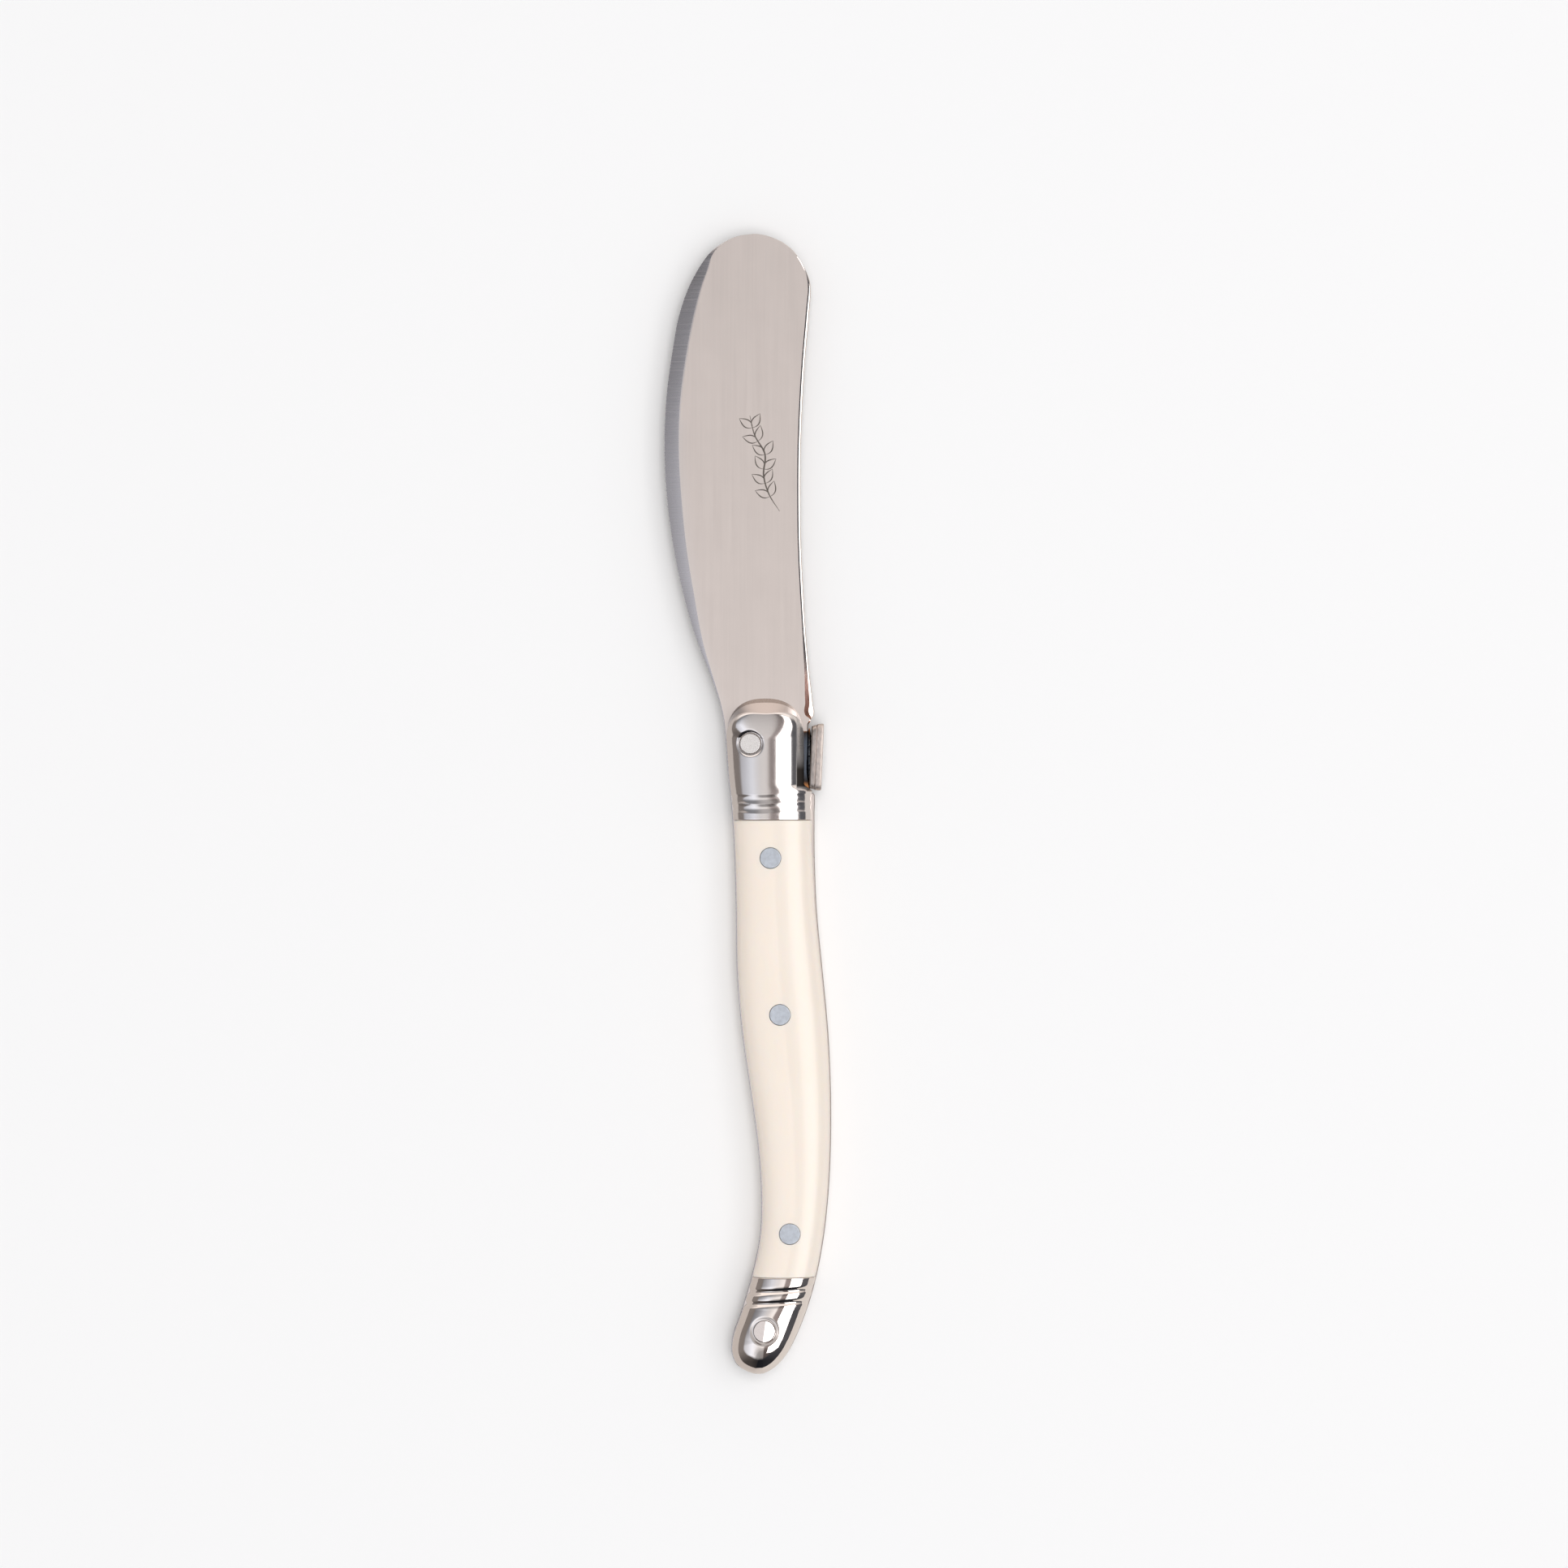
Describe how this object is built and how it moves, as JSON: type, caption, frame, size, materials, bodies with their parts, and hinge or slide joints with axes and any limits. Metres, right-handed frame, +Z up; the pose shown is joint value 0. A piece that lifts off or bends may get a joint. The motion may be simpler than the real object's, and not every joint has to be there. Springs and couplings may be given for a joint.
{
  "type": "butter spreader knife",
  "caption": "Table spreader knife with a broad round-tipped steel blade, full tang, ivory plastic scales, steel bolsters, flush pins and a plain plate on the spine.",
  "frame": {"origin": "middle of the knife's outline, on the surface that the knife lies on", "axes": "+Y from the butt of the handle to the blade's round tip, +X from the spreading edge to the spine, +Z up through the thickness of the knife lying on its right side"},
  "size_m": [0.0242, 0.165, 0.0095],
  "materials": {
    "blade_steel": "satin stainless steel, brushed along the blade, with a ground edge bevel and a polished spine",
    "scales": "polished ivory acrylic or ABS",
    "front_bolsters": "cast stainless steel, lightly polished",
    "rear_bolsters": "cast stainless steel, mirror polished",
    "bolster_pins": "stainless steel, polished end faces",
    "scale_pins": "aluminium, fine-sanded flush with the scales",
    "spine_plate": "pressed stainless steel with rough sheared edges"
  },
  "bodies": {
    "root": {"blade": "blade_steel", "left_scale": "scales", "right_scale": "scales", "left_front_bolster": "front_bolsters", "right_front_bolster": "front_bolsters", "left_rear_bolster": "rear_bolsters", "right_rear_bolster": "rear_bolsters", "front_bolster_pin": "bolster_pins", "rear_bolster_pin": "bolster_pins", "front_scale_pin": "scale_pins", "middle_scale_pin": "scale_pins", "rear_scale_pin": "scale_pins", "spine_plate": "spine_plate"}
  },
  "joints": []
}
